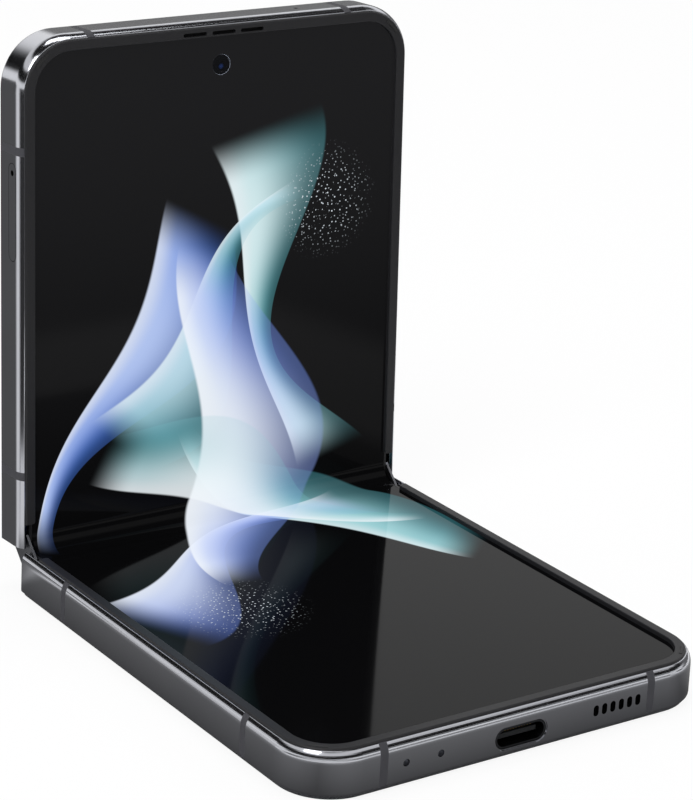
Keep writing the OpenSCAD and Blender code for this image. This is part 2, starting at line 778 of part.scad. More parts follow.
module spine_cover() color(graphite) in_spine() along_x(-spine_l / 2, spine_l / 2) difference() {
    spine_section(cover_r, cover_top);
    spine_section(cover_r - cover_t, cover_top + 1);
}

// a plate that closes the spine's end, with a T-shaped rib on its outer face
module spine_end_caps() color("#4a4b4e") in_spine() both_sides() {
    along_x(spine_l / 2, spine_l / 2 + end_cap_t - cap_rib_t) {
        spine_section(cover_r, cover_top);
        translate([-end_cap_w / 2, cover_top - 1]) square([end_cap_w, cap_top - cover_top + 1]);
    }
    along_x(spine_l / 2, spine_l / 2 + end_cap_t) {
        spine_section(cover_r, cover_top);
        translate([-cap_stem_w / 2, cover_top - 1]) square([cap_stem_w, cap_top - cover_top + 1]);
        translate([-end_cap_w / 2, cap_top - cap_bar_h]) square([end_cap_w, cap_bar_h]);
    }
}

// ring groove about the lower half's fold axis
module rail_groove(x0) along_x(x0 - rail_side_gap, x0 + rail_w + rail_side_gap)
    translate([-axis_y, axis_z]) difference() {
        circle(r = rail_r + rail_t + run_gap, $fn = 128);
        circle(r = rail_r - run_gap, $fn = 128);
    }

module guide_screw_places() for (side = [-1, 1])
    translate([guide_x, side * guide_screw_y, 0]) children();

// a screw down through a guide, drawn with its own clearance
module guide_screw(gap) {
    translate([0, 0, cover_floor])
        cylinder(r = screw_r + gap, h = guide_screw_z - cover_floor + eps, $fn = 24);
    translate([0, 0, guide_screw_z])
        cylinder(r = guide_screw_head_r + gap, h = guide_screw_head_h, $fn = 24);
}

// section of a block that rests on the flat floor inside the cover
module block_section() {
    spine_section(block_r, block_top);
    translate([-axis_y, cover_floor]) square([2 * axis_y, 1]);
}

module rotor_guides() color("#9b9da2") in_spine() both_sides() difference() {
    along_x(guide_in, guide_in + guide_l) block_section();
    rail_groove(rail_x1);
    mirror([0, 1, 0]) rail_groove(rail_x2);
    guide_screw_places() {
        guide_screw(seam);
        translate([0, 0, guide_screw_z]) cylinder(r = guide_screw_head_r + seam, h = 3, $fn = 24);
        translate([0, 0, cover_floor - 1]) cylinder(r = screw_r + seam, h = 2, $fn = 24);
    }
}

module spine_screws() color(steel) in_spine() both_sides() guide_screw_places() guide_screw(0);

module rotor_rail(x0) along_x(x0, x0 + rail_w) translate([axis_y, axis_z])
    sector(rail_r, rail_r + rail_t, -rail_a1, -rail_a0);

module rotor_plate(x0) difference() {
    box(x0, x0 + rail_w, rotor_start, rotor_end, rotor_z, midplate_z);
    rotor_screw_places(x0) screw_hole();
}

module rotors(x0) both_sides() {
    rotor_rail(x0);
    rotor_plate(x0);
}

module rotor_screw_places(x0) for (side = [-1, 1])
    translate([side * (x0 + rail_w / 2), rotor_screw_s, 0]) children();

module lower_hinge_rotors() color(steel) in_lower() rotors(rail_x1);

module upper_hinge_rotors() color(steel) in_upper() rotors(rail_x2);

module pin_places(list) for (i = list) translate([gear_y[i], gear_z[i]]) children();

module carrier_wall(x0) along_x(x0, x0 + carrier_t) difference() {
    union() {
        block_section();
        pin_places([0, 3]) circle(r = boss_r, $fn = 48);
    }
    pin_places([0:3]) circle(r = pin_r, $fn = 48);
}

module gear_carriers() color("#9b9da2") in_spine() both_sides()
    for (x0 = [carrier_out - carrier_t, spring_out, pin_in]) carrier_wall(x0);

module gear_pins() color(steel) in_spine() both_sides()
    along_x(pin_in, carrier_out) pin_places([0:3]) circle(r = pin_r, $fn = 48);

module hinge_springs() color("#6d6f74") in_spine() both_sides()
    along_x(spring_in, spring_out) pin_places([0:3]) difference() {
        circle(r = spring_r, $fn = 48);
        circle(r = pin_r + pin_gap, $fn = 48);
    }

// gear outline: each tooth is narrow at its tip and wide at its root
function gear_points() = [for (i = [0:gear_teeth - 1], k = [0:3])
    let (half = (k == 0 || k == 3 ? tooth_root : tooth_tip) * 90 / gear_teeth,
        r = k == 0 || k == 3 ? gear_r - tooth_ded : gear_r + tooth_add,
        a = i * tooth_pitch + (k < 2 ? -half : half))
    [r * cos(a), r * sin(a)]];

module gear_section(i) difference() {
    translate([gear_y[i], gear_z[i]]) rotate(gear_phase[i]) polygon(gear_points());
    translate([gear_y[i], gear_z[i]]) circle(r = pin_r + pin_gap, $fn = 48);
}

// the blade points away from the fold and turns with its half
module blade_section(i, side) translate([gear_y[i], gear_z[i]]) rotate(side * half_fold)
    translate([side < 0 ? -blade_l : 0, 0]) difference() {
        square([blade_l, blade_t]);
        translate([side < 0 ? blade_l : 0, 0]) circle(r = pin_r + hub_t, $fn = 48);
    }

module gear_arms(i, side) both_sides() along_x(gear_in, gear_out) {
    gear_section(i);
    blade_section(i, side);
}

module lower_gear_arms() color(gold) in_spine() gear_arms(0, -1);

module upper_gear_arms() color(gold) in_spine() gear_arms(3, 1);

module lower_idler_gears() color(gold) in_spine() both_sides() along_x(gear_in, gear_out) gear_section(1);

module upper_idler_gears() color(gold) in_spine() both_sides() along_x(gear_in, gear_out) gear_section(2);

// ---- lower half, inside ----

module battery(l) box(-battery_w / 2, battery_w / 2, battery_start, battery_start + l,
    midplate_z - battery_t, midplate_z);

module lower_battery() color("#2b2c30") in_lower() battery(lower_battery_l);

module charging_coil() color("#b8763a") in_lower()
    translate([0, battery_start + lower_battery_l / 2, back_glass_t]) difference() {
        cylinder(r = coil_r, h = coil_t, $fn = 128);
        translate([0, 0, -1]) cylinder(r = coil_r - coil_w, h = 3, $fn = 128);
    }

module board_screw_places(start) for (x = board_screw_x) translate([x, start + board_screw_in, 0]) children();

// a circuit board with the half's round corners, from s0 to its end and across to x1
module board(s0, x1, z) intersection() {
    half_plate(wall_t + board_margin, s0, z, board_t);
    box(-hw, x1, 0, half_l, 0, big);
}

module lower_board() color("#24513a") in_lower() difference() {
    board(lower_board_start, speaker_x - speaker_box_l / 2 - 0.5, board_z);
    board_screw_places(lower_board_start) screw_hole();
}

module usb_port_shell() color(steel) in_lower() difference() {
    end_cut(0, usb_z, half_l - usb_start) stadium(usb_out_w, usb_out_h);
    translate([0, 0.5, usb_z]) along_y(usb_start, half_l + 2) stadium(usb_w, usb_h);
    box(-hw, hw, half_l - usb_face_in, half_l + 2, 0, big);
}

module usb_port_tongue() color("#1c1c1e") in_lower()
    box(-usb_tongue_w / 2, usb_tongue_w / 2, usb_start + 0.5, half_l - wall_t + 0.1,
        usb_z - usb_tongue_t / 2, usb_z + usb_tongue_t / 2);

module loudspeaker() color("#303134") in_lower()
    box(speaker_x - speaker_box_l / 2, speaker_x + speaker_box_l / 2,
        half_l - wall_t - mesh_t - speaker_box_w, half_l - wall_t - mesh_t,
        midplate_z - speaker_box_h, midplate_z);

module speaker_mesh() color("#141415") in_lower()
    box(speaker_x - speaker_slots * speaker_pitch / 2, speaker_x + speaker_slots * speaker_pitch / 2,
        half_l - wall_t - mesh_t, half_l - wall_t, hole_z - speaker_slot_h / 2 - 0.2,
        hole_z + min(speaker_slot_h / 2 + 0.2, midplate_z - hole_z));

module bottom_microphones() color(steel) in_lower() for (x = [-mic_x1, -mic_x2])
    box(x - mic_block_w / 2, x + mic_block_w / 2, half_l - wall_t - mic_block_l, half_l - wall_t,
        hole_z - mic_r - 0.5, midplate_z);

module vibration_motor() color("#8d8f94") in_lower()
    box(-hw + wall_t + motor_in, -hw + wall_t + motor_in + motor_w, lower_board_start + motor_start,
        lower_board_start + motor_start + motor_l, midplate_z - motor_h, midplate_z);

// a screw driven up into the midplate, its head below z
module screw(z) {
    translate([0, 0, z - screw_head_h]) cylinder(r = screw_head_r, h = screw_head_h, $fn = 24);
    translate([0, 0, z - eps]) cylinder(r = screw_r, h = plate_z - z, $fn = 24);
}

module lower_screws() color(steel) in_lower() {
    rotor_screw_places(rail_x1) screw(rotor_z);
    board_screw_places(lower_board_start) screw(board_z);
}

// ---- upper half, inside ----

module upper_battery() color("#2b2c30") in_upper() battery(upper_battery_l);

module main_board() color("#24513a") in_upper() difference() {
    board(upper_board_start, board_x1, main_board_z);
    board_screw_places(upper_board_start) screw_hole();
    // room for the tray's socket and the front camera
    box(-hw, -hw + wall_t + tray_l + 2, tray_s0 - 1, tray_s1 + 1, 0, big);
    translate([0, front_camera_s, 0]) cylinder(r = front_barrel_r + 0.6, h = big, $fn = 64);
}

module board_shields() color(steel) in_upper()
    for (s = [[upper_board_start + 4, tray_s - 1], [tray_s, front_camera_s - front_barrel_r - 2]])
        box(-hw + wall_t + tray_l + 3, board_x1 - 1, s[0], s[1],
            main_board_z + board_t, midplate_z);

module rear_cameras() color("#1b1b1d") in_upper() camera_places()
    box(-camera_block_w / 2, camera_block_w / 2, -camera_block_w / 2, camera_block_w / 2,
        back_glass_t + lens_seat, midplate_z);

module camera_rings() color("#5f6066") in_upper() camera_places() difference() {
    union() {
        translate([0, 0, -ring_out]) cylinder(r = ring_r, h = ring_out, $fn = 96);
        cylinder(r = ring_r - ring_w / 2, h = back_glass_t, $fn = 96);
    }
    translate([0, 0, -ring_out - 1])
        cylinder(r = ring_r - ring_w, h = ring_out + back_glass_t + 2, $fn = 96);
}

module camera_lenses() color("#0c0d12") in_upper() camera_places()
    translate([0, 0, lens_in - ring_out])
        cylinder(r = ring_r - ring_w, h = ring_out - lens_in + back_glass_t + lens_seat, $fn = 96);

module flash_lens() color("#e8e4d4") in_upper() translate([flash_x, rear_camera_s[0], 0])
    cylinder(r = flash_r, h = main_board_z, $fn = 64);

module front_camera() color("#101116") in_upper() translate([0, front_camera_s, 0]) {
    translate([0, 0, main_board_z]) cylinder(r = front_barrel_r, h = midplate_z - main_board_z, $fn = 64);
    translate([0, 0, midplate_z - eps])
        cylinder(r = camera_hole_r - front_lens_gap, h = display_z - midplate_z - front_lens_drop, $fn = 64);
}

module earpiece() color("#26272a") in_upper()
    box(-ear_box_l / 2, ear_box_l / 2, half_l - wall_t - ear_box_w, half_l - wall_t,
        midplate_z - ear_box_h, midplate_z);

module earpiece_mesh() color("#141415") in_upper() ear_slots(0, display_z, mesh_t);

module sim_socket() color(steel) in_upper() difference() {
    box(-hw + wall_t + 0.1, -hw + wall_t + tray_l + 0.5, tray_plate_s0 - 0.1 - socket_t,
        tray_plate_s1 + 0.1 + socket_t, tray_plate_z - 0.1 - socket_t, midplate_z);
    box(-hw - 1, -hw + wall_t + tray_l + 0.5 - socket_t, tray_plate_s0 - 0.1, tray_plate_s1 + 0.1,
        tray_plate_z - 0.1, tray_plate_z + tray_t + 0.1);
}

module key_switches() color("#b9a25a") in_upper()
    for (s = [volume_s - volume_l / 4, volume_s + volume_l / 4, side_key_s])
        box(hw - wall_t - key_flange_t - key_travel - switch_gap - 0.8,
            hw - wall_t - key_flange_t - key_travel - switch_gap,
            s - 1.5, s + 1.5, key_z - 0.8, midplate_z);

module upper_screws() color(steel) in_upper() {
    rotor_screw_places(rail_x2) screw(rotor_z);
    board_screw_places(upper_board_start) screw(main_board_z);
}

// ---- tray and keys ----

module sim_tray() color(graphite) in_upper() difference() {
    union() {
        side_cut(tray_s, tray_z, -hw, -hw + wall_t) stadium(tray_head_l, tray_head_h);
        box(-hw + wall_t - eps, -hw + wall_t + tray_l, tray_plate_s0, tray_plate_s1,
            tray_plate_z, tray_plate_z + tray_t);
    }
    side_cut(eject_s, tray_z, -hw - 1, -hw + wall_t + 1) circle(r = eject_r, $fn = 48);
    // seat for the card
    box(-hw + wall_t + card_seat_in, -hw + wall_t + tray_l - card_seat_in, tray_plate_s0 + card_seat_in,
        tray_plate_s1 - card_seat_in, tray_plate_z + card_seat_floor, tray_plate_z + tray_t + 1);
}

module key(s, l, out) {
    side_cut(s, key_z, hw - wall_t, hw + out) stadium(l, key_h);
    box(hw - wall_t - key_flange_t, hw - wall_t - 0.01, s - l / 2 - 0.5, s + l / 2 + 0.5,
        key_z - key_h / 2 - 0.3, key_flange_top);
    side_cut(s, key_z, hw - wall_t - 0.1, hw - wall_t + 0.1) stadium(l, key_h);
}

module volume_key() color(graphite) in_upper() key(volume_s, volume_l, volume_out);

module side_key() color("#46474c") in_upper() key(side_key_s, side_key_l, side_key_out);

// ---- nodes ----

lower_frame();
lower_antenna_bands();
lower_back_glass();
lower_bezel();
lower_bumpers();
lower_midplate();
lower_display_plate();
display_lower();
lower_battery();
charging_coil();
lower_board();
usb_port_shell();
usb_port_tongue();
loudspeaker();
speaker_mesh();
bottom_microphones();
vibration_motor();
lower_hinge_rotors();
lower_edge_guards();
lower_screws();
spine_cover();
rotor_guides();
gear_carriers();
gear_pins();
hinge_springs();
spine_end_caps();
spine_screws();
display_fold();
lower_gear_arms();
upper_gear_arms();
lower_idler_gears();
upper_idler_gears();
upper_frame();
upper_antenna_bands();
upper_back_glass();
cover_window();
cover_display();
upper_bezel();
upper_bumpers();
upper_midplate();
upper_display_plate();
display_upper();
upper_battery();
main_board();
board_shields();
rear_cameras();
camera_rings();
camera_lenses();
flash_lens();
front_camera();
earpiece();
earpiece_mesh();
sim_socket();
key_switches();
upper_hinge_rotors();
upper_edge_guards();
upper_screws();
sim_tray();
volume_key();
side_key();
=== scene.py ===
import math

import bmesh
import bpy
from mathutils import Matrix, Vector


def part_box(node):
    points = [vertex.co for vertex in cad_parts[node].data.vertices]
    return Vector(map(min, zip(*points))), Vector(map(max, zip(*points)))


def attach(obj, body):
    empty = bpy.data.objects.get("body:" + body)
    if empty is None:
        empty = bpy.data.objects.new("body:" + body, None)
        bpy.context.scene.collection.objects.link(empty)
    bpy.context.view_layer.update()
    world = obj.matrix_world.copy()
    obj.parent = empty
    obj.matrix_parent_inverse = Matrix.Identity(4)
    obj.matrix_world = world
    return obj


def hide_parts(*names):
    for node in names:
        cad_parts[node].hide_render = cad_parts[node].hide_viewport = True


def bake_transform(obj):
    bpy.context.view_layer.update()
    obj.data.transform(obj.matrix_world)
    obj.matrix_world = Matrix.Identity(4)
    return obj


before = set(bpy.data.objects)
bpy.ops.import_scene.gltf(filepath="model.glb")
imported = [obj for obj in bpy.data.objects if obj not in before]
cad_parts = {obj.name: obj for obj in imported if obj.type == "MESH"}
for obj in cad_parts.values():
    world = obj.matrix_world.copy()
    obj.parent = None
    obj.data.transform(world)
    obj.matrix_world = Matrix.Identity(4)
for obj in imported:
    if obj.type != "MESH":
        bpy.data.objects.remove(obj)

# ---------------------------------------------------------------- sizes
# All lengths below are in millimetres and become metres through MM.
MM = 0.001
HALF_MIDDLE = 40.75         # from the middle of the lower half to the fold's centre plane
HALF_WIDTH = 36.1
HALF_FOLD = math.radians(43.8)    # each half's turn up from flat
AXIS_APART = 2.7            # from the fold's centre plane to each fold axis
AXIS_HEIGHT = 6.5
DISPLAY_HEIGHT = 6.9
PANEL_HALF_WIDTH = 33.8
PANEL_END = 79.2
PANEL_CORNER = 6.4
PANEL_THICKNESS = 0.5
FOLD_RADIUS = 3.3791
FOLD_START = 2.5832
FRONT_CAMERA = 74.3         # cameras: distance from the fold
CAMERA_HOLE = 1.65
REAR_CAMERA_X = 26.0
REAR_CAMERAS = (72.9, 60.8)
FLASH_X = 17.8
RING_INNER = 4.7
USB_HEIGHT = 3.15
UV_PER_METRE = 10.0         # one unit of the display's picture is 100 mm
# the upper half's own directions: away from the fold, and up from its back face
UPPER_ALONG = Vector((0, math.cos(2 * HALF_FOLD), math.sin(2 * HALF_FOLD)))
UPPER_FACE = Vector((0, -math.sin(2 * HALF_FOLD), math.cos(2 * HALF_FOLD)))

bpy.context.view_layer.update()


def lower_point(x, along, height):
    """A place on the lower half: across, away from the fold, up from its back face."""
    return Vector((x, HALF_MIDDLE - along, height)) * MM


def upper_point(x, along, height):
    """The same place on the upper half, turned up by both fold axes."""
    lower_axis = Vector((0, HALF_MIDDLE - AXIS_APART, AXIS_HEIGHT))
    spine_line = Vector((0, math.cos(HALF_FOLD), math.sin(HALF_FOLD)))
    upper_axis = lower_axis + 2 * AXIS_APART * spine_line
    offset = (along - AXIS_APART) * UPPER_ALONG + (height - AXIS_HEIGHT) * UPPER_FACE
    return (upper_axis + offset + Vector((x, 0, 0))) * MM


def upper_along(point):
    """Distance from the fold, in millimetres, of a place in millimetres on the upper half."""
    return (point - upper_point(0, 0, 0) / MM).dot(UPPER_ALONG)


# ---------------------------------------------------------------- shader maths

def linear(hex_colour):
    """A screen colour such as "8fa9f0" as the linear colour that nodes work in."""
    channels = [int(hex_colour[i:i + 2], 16) / 255 for i in (0, 2, 4)]
    return [c / 12.92 if c <= 0.04045 else ((c + 0.055) / 1.055) ** 2.4 for c in channels] + [1.0]


class Value:
    """A number that varies over a surface. Arithmetic on it adds the Math nodes."""

    def __init__(self, finish, socket):
        self.finish = finish
        self.socket = socket

    def _math(self, operation, first, second=0.0):
        return self.finish.node("ShaderNodeMath", {"operation": operation}, {0: first, 1: second})

    def __add__(self, other):
        return self._math("ADD", self, other)

    def __radd__(self, other):
        return self._math("ADD", other, self)

    def __sub__(self, other):
        return self._math("SUBTRACT", self, other)

    def __rsub__(self, other):
        return self._math("SUBTRACT", other, self)

    def __mul__(self, other):
        return self._math("MULTIPLY", self, other)

    def __rmul__(self, other):
        return self._math("MULTIPLY", other, self)

    def __truediv__(self, other):
        return self._math("DIVIDE", self, other)

    def __rtruediv__(self, other):
        return self._math("DIVIDE", other, self)

    def __pow__(self, other):
        return self._math("POWER", self, other)

    def sine(self):
        return self._math("SINE", self)

    def size(self):
        return self._math("ABSOLUTE", self)

    def larger(self, other):
        return self._math("MAXIMUM", self, other)

    def below(self, limit):
        return self._math("LESS_THAN", self, limit)

    def ramp(self, low, high, start=0.0, end=1.0):
        """Goes smoothly from start to end while the value goes from low to high."""
        settings = {"interpolation_type": "SMOOTHSTEP"}
        values = {"Value": self, "From Min": low, "From Max": high, "To Min": start, "To Max": end}
        return self.finish.node("ShaderNodeMapRange", settings, values, "Result")


class Graph:
    """A node tree to which nodes are added by call."""

    def __init__(self, tree):
        self.tree = tree

    def fill(self, socket, value):
        """Sets one socket, or links it."""
        if isinstance(value, Value):
            value = value.socket
        if isinstance(value, bpy.types.NodeSocket):
            self.tree.links.new(value, socket)
        else:
            socket.default_value = value

    def node(self, kind, settings=None, values=None, output=0):
        """Adds any node: its settings first, then the values or links of its sockets."""
        node = self.tree.nodes.new(kind)
        for name, setting in (settings or {}).items():
            if name == "stops":
                ramp = node.color_ramp
                for place, _ in setting[1:-1]:
                    ramp.elements.new(place)
                for element, (place, colour) in zip(ramp.elements, setting):
                    element.position = place
                    element.color = colour
            else:
                setattr(node, name, setting)
        for name, value in (values or {}).items():
            self.fill(node.inputs[name], value)
        return None if output is None else Value(self, node.outputs[output])

    def object_place(self):
        return self.node("ShaderNodeTexCoord", output="Object")

    def axes(self, place):
        """x, y and z of a place."""
        split = self.tree.nodes.new("ShaderNodeSeparateXYZ")
        self.fill(split.inputs[0], place)
        return [Value(self, output) for output in split.outputs]

    def noise(self, scale, detail=2.0, place=None, output=0):
        values = {"Vector": place or self.object_place(), "Scale": scale, "Detail": detail}
        return self.node("ShaderNodeTexNoise", None, values, output)

    def mix(self, factor, first, second):
        """Goes from the first colour to the second as the factor rises."""
        settings = {"data_type": "RGBA", "blend_type": "MIX"}
        return self.node("ShaderNodeMix", settings, {0: factor, 6: first, 7: second}, 2)

    def grey_steps(self, value, stops):
        """A grey that goes through the given places and shades."""
        shades = [(place, (shade, shade, shade, 1)) for place, shade in stops]
        return self.node("ShaderNodeValToRGB", {"stops": shades}, {0: value})


class Finish(Graph):
    """A material with one Principled shader; its plain sockets are set by name."""

    def __init__(self, name, colour, roughness, metallic=0.0, **sockets):
        self.material = bpy.data.materials.new(name)
        self.material.use_nodes = True
        super().__init__(self.material.node_tree)
        self.shader = self.tree.nodes["Principled BSDF"]
        self.colour = linear(colour)
        self.put("Base Color", self.colour)
        self.put("Roughness", roughness)
        self.put("Metallic", metallic)
        for socket, value in sockets.items():
            self.put(socket.replace("_", " "), value)

    def put(self, socket, value):
        """Sets or links one socket of the shader."""
        self.fill(self.shader.inputs[socket], value)

    def unfolded_place(self):
        return self.node("ShaderNodeUVMap", {"uv_map": "unfolded"})

    def bump(self, height, strength, distance):
        values = {"Height": height, "Strength": strength, "Distance": distance * MM}
        self.put("Normal", self.node("ShaderNodeBump", None, values))

    def tint(self, factor, other):
        """Turns the base colour towards another one where factor is high."""
        self.put("Base Color", self.mix(factor, self.colour, linear(other)))

    def distance_from(self, centre, keep=(1, 1, 1)):
        """Distance from a place, in millimetres, along the kept axes."""
        offset = self.node("ShaderNodeVectorMath", {"operation": "SUBTRACT"},
                           {0: self.object_place(), 1: tuple(centre)})
        flat = self.node("ShaderNodeVectorMath", {"operation": "MULTIPLY"},
                         {0: offset, 1: tuple(k / MM for k in keep)})
        return self.node("ShaderNodeVectorMath", {"operation": "LENGTH"}, {0: flat}, "Value")


# ---------------------------------------------------------------- finishes

SPRING_PITCH = 0.62
COIL_PITCH = 0.55
MESH_PITCH = 0.12
FLASH_RIB_PITCH = 0.35

def graphite_metal(name="graphite metal", colour="9b9ca1", roughness=0.13):
    """Anodised frame metal, polished, with a very fine grain."""
    finish = Finish(name, colour, roughness, metallic=1.0)
    cloud = finish.noise(60, 3)
    grain = finish.noise(9000, 1)
    finish.put("Roughness", roughness - 0.03 + cloud * 0.04 + grain * 0.03)
    finish.tint(cloud.ramp(0.35, 0.75, 0.0, 0.3), "8a8b91")
    finish.bump(grain, 0.008, 0.01)
    return finish


def band_plastic():
    finish = Finish("band plastic", "3f3f43", 0.6, Specular_IOR_Level=0.12)
    grain = finish.noise(6000, 2)
    finish.put("Roughness", 0.55 + grain * 0.12)
    finish.bump(grain, 0.08, 0.01)
    return finish


def bezel_plastic(name="bezel plastic", colour="232325", roughness=0.42):
    """Satin moulded plastic with a fine texture."""
    finish = Finish(name, colour, roughness, Specular_IOR_Level=0.2)
    grain = finish.noise(5200, 2)
    cloud = finish.noise(40, 2)
    finish.put("Roughness", roughness - 0.06 + grain * 0.1 + cloud * 0.04)
    finish.tint(cloud.ramp(0.4, 0.7, 0.0, 0.4), "1d1d1f")
    finish.bump(grain, 0.12, 0.012)
    return finish


def black_rubber():
    finish = Finish("black rubber", "141415", 0.6)
    grain = finish.noise(4000, 3)
    finish.put("Roughness", 0.55 + grain * 0.15)
    finish.bump(grain, 0.2, 0.02)
    return finish


def back_glass():
    """Frosted glass over a dark coating with a faint pearl grain."""
    finish = Finish("frosted back glass", "3a3b3f", 0.34, Coat_Weight=0.15, Coat_Roughness=0.3)
    grain = finish.noise(14000, 1)
    cloud = finish.noise(18, 3)
    finish.put("Roughness", 0.3 + cloud * 0.06 + grain * 0.05)
    finish.tint(grain.ramp(0.55, 0.8, 0.0, 0.5), "5a5b61")
    finish.bump(grain, 0.05, 0.005)
    return finish


def cover_glass():
    finish = Finish("cover window glass", "0a0a0c", 0.06, Coat_Weight=0.3, Coat_Roughness=0.03)
    haze = finish.noise(22, 2)
    finish.put("Roughness", 0.04 + haze * 0.05)
    finish.tint(haze.ramp(0.4, 0.8, 0.0, 0.6), "101116")
    return finish


def alloy_plate():
    """Rolled and blasted sheet."""
    finish = Finish("alloy plate", "8c8e92", 0.45, metallic=1.0)
    streak = finish.node("ShaderNodeMapping", None,
                         {"Vector": finish.object_place(), "Scale": (4000, 60, 60)})
    lines = finish.noise(1.0, 3, streak)
    finish.put("Roughness", 0.36 + lines * 0.2)
    finish.tint(lines.ramp(0.3, 0.8, 0.0, 0.5), "6f7175")
    finish.bump(lines, 0.1, 0.01)
    return finish


def bright_steel(name="bright steel", colour="a7a9ad"):
    finish = Finish(name, colour, 0.3, metallic=1.0)
    streak = finish.node("ShaderNodeMapping", None,
                         {"Vector": finish.object_place(), "Scale": (90, 5000, 5000)})
    lines = finish.noise(1.0, 2, streak)
    finish.put("Roughness", 0.22 + lines * 0.18)
    finish.tint(lines.ramp(0.35, 0.8, 0.0, 0.25), "77797d")
    finish.bump(lines, 0.06, 0.01)
    return finish


def gear_steel():
    """Sintered steel with a fine pitted skin and a little oil."""
    finish = Finish("gear steel", "8b857a", 0.38, metallic=1.0, Coat_Weight=0.2, Coat_Roughness=0.2)
    pits = finish.noise(9000, 3)
    finish.put("Roughness", 0.3 + pits * 0.25)
    finish.tint(pits.ramp(0.3, 0.7, 0.0, 0.6), "5f5a50")
    finish.bump(pits, 0.25, 0.015)
    return finish


def spring_steel():
    """Looks wound: fine turns run round the spring along the hinge, with painted shade near black
    in the grooves between them.
    """
    finish = Finish("wound spring", "6a6c72", 0.3, metallic=1.0)
    turns = (finish.axes(finish.object_place())[0] * (2 * math.pi / (SPRING_PITCH * MM))).sine()
    shade = turns.ramp(-0.9, 0.2)
    # painted shade: the steel is darkened to near black in the grooves between the turns
    finish.put("Base Color", finish.mix(shade, linear("1a1b1d"), finish.colour))
    finish.put("Roughness", 0.5 - shade * 0.22)
    finish.bump(turns, 0.9, 0.12)
    return finish


def cell_wrap():
    finish = Finish("battery wrap", "26272b", 0.35)
    wrinkle = finish.noise(130, 4)
    finish.put("Roughness", 0.3 + wrinkle * 0.2)
    finish.tint(wrinkle.ramp(0.4, 0.7, 0.0, 0.5), "34353a")
    finish.bump(wrinkle, 0.25, 0.08)
    return finish


def copper_coil():
    """Flat coil: concentric turns of enamelled wire round the battery's middle, with painted shade
    darkening the copper between the turns.
    """
    finish = Finish("coil copper", "b87333", 0.32, metallic=1.0)
    low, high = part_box("charging_coil")
    turns = (finish.distance_from((low + high) / 2, (1, 1, 0)) * (2 * math.pi / COIL_PITCH)).sine()
    # painted shade: the copper goes dark brown between the turns
    finish.put("Base Color", finish.mix(turns.ramp(-0.8, 0.3), linear("3b1d0c"), finish.colour))
    finish.put("Roughness", 0.42 - turns * 0.08)
    finish.bump(turns, 0.6, 0.08)
    return finish


def board_green():
    """Lacquered circuit board with blocks of small parts and plated lines."""
    finish = Finish("circuit board", "1f4733", 0.3, Coat_Weight=0.4)
    cells = finish.node("ShaderNodeTexVoronoi", {"distance": "CHEBYCHEV"},
                        {"Vector": finish.object_place(), "Scale": 420.0})
    lines = finish.node("ShaderNodeTexVoronoi", {"feature": "DISTANCE_TO_EDGE"},
                        {"Vector": finish.object_place(), "Scale": 700.0})
    plated = lines.below(0.035)
    finish.put("Base Color", finish.mix(plated, finish.mix(cells.ramp(0.3, 0.45), linear("101213"),
                                                           finish.colour), linear("9c8a4a")))
    finish.put("Roughness", 0.45 - plated * 0.2)
    finish.bump(cells, 0.5, 0.2)
    return finish


def inner_plastic():
    finish = Finish("inner plastic", "1d1e20", 0.5, Specular_IOR_Level=0.25)
    grain = finish.noise(2500, 2)
    finish.put("Roughness", 0.45 + grain * 0.12)
    finish.tint(grain.ramp(0.4, 0.7, 0.0, 0.4), "1e1f21")
    finish.bump(grain, 0.15, 0.02)
    return finish


def woven_mesh():
    """Fine woven screen behind the sound holes."""
    finish = Finish("woven mesh", "0b0b0c", 0.7, Specular_IOR_Level=0.1)
    x, _, z = finish.axes(finish.object_place())
    thread = 2 * math.pi / (MESH_PITCH * MM)
    weave = ((x * thread).sine() * (z * thread).sine()).size()
    finish.put("Base Color", finish.mix(weave, linear("030303"), linear("121213")))
    finish.put("Roughness", 0.75 - weave * 0.2)
    finish.bump(weave, 0.4, 0.03)
    return finish


def light_lens():
    """Ribbed cover of the flash."""
    finish = Finish("flash lens", "e9e5d6", 0.2, Coat_Weight=0.6)
    away = finish.distance_from(upper_point(FLASH_X, REAR_CAMERAS[0], 0), (1, 0, 1))
    ribs = (away * (2 * math.pi / FLASH_RIB_PITCH)).sine()
    finish.put("Base Color", finish.mix(ribs.ramp(-0.4, 0.8), linear("c9bf95"), finish.colour))
    finish.put("Roughness", 0.22 + ribs * 0.05)
    finish.bump(ribs, 0.5, 0.05)
    return finish


LENS_RINGS = 7


def lens_glass(name, centres, radius, ring_light=1.0):
    """Dark coated glass: rings of the barrel round a small bluish opening."""
    finish = Finish(name, "07080b", 0.06, Specular_IOR_Level=0.2, Coat_Weight=0.12 * ring_light,
                    Coat_Roughness=0.03)
    nearest = None
    for centre in centres:
        away = finish.distance_from(centre, (1, 0, 1)) / radius
        nearest = away if nearest is None else finish.node(
            "ShaderNodeMath", {"operation": "MINIMUM"}, {0: nearest, 1: away})
    waves = (nearest * (2 * math.pi * LENS_RINGS)).sine().ramp(0.2, 0.95)
    rings = waves * nearest.ramp(0.35, 0.5) * ring_light
    barrel = finish.mix(rings * 0.7, finish.colour, linear("26272d"))
    pupil = finish.mix(nearest.ramp(0.05, 0.34), linear("1b2b55"), linear("04050a"))
    finish.put("Base Color", finish.mix(nearest.ramp(0.34, 0.37), pupil, barrel))
    finish.put("Roughness", 0.04 + rings * 0.25)
    return finish


def contact_gold():
    finish = Finish("contact gold", "c8a45a", 0.3, metallic=1.0)
    wear = finish.noise(3000, 2)
    finish.put("Roughness", 0.22 + wear * 0.2)
    finish.tint(wear.ramp(0.5, 0.8, 0.0, 0.5), "a88647")
    return finish


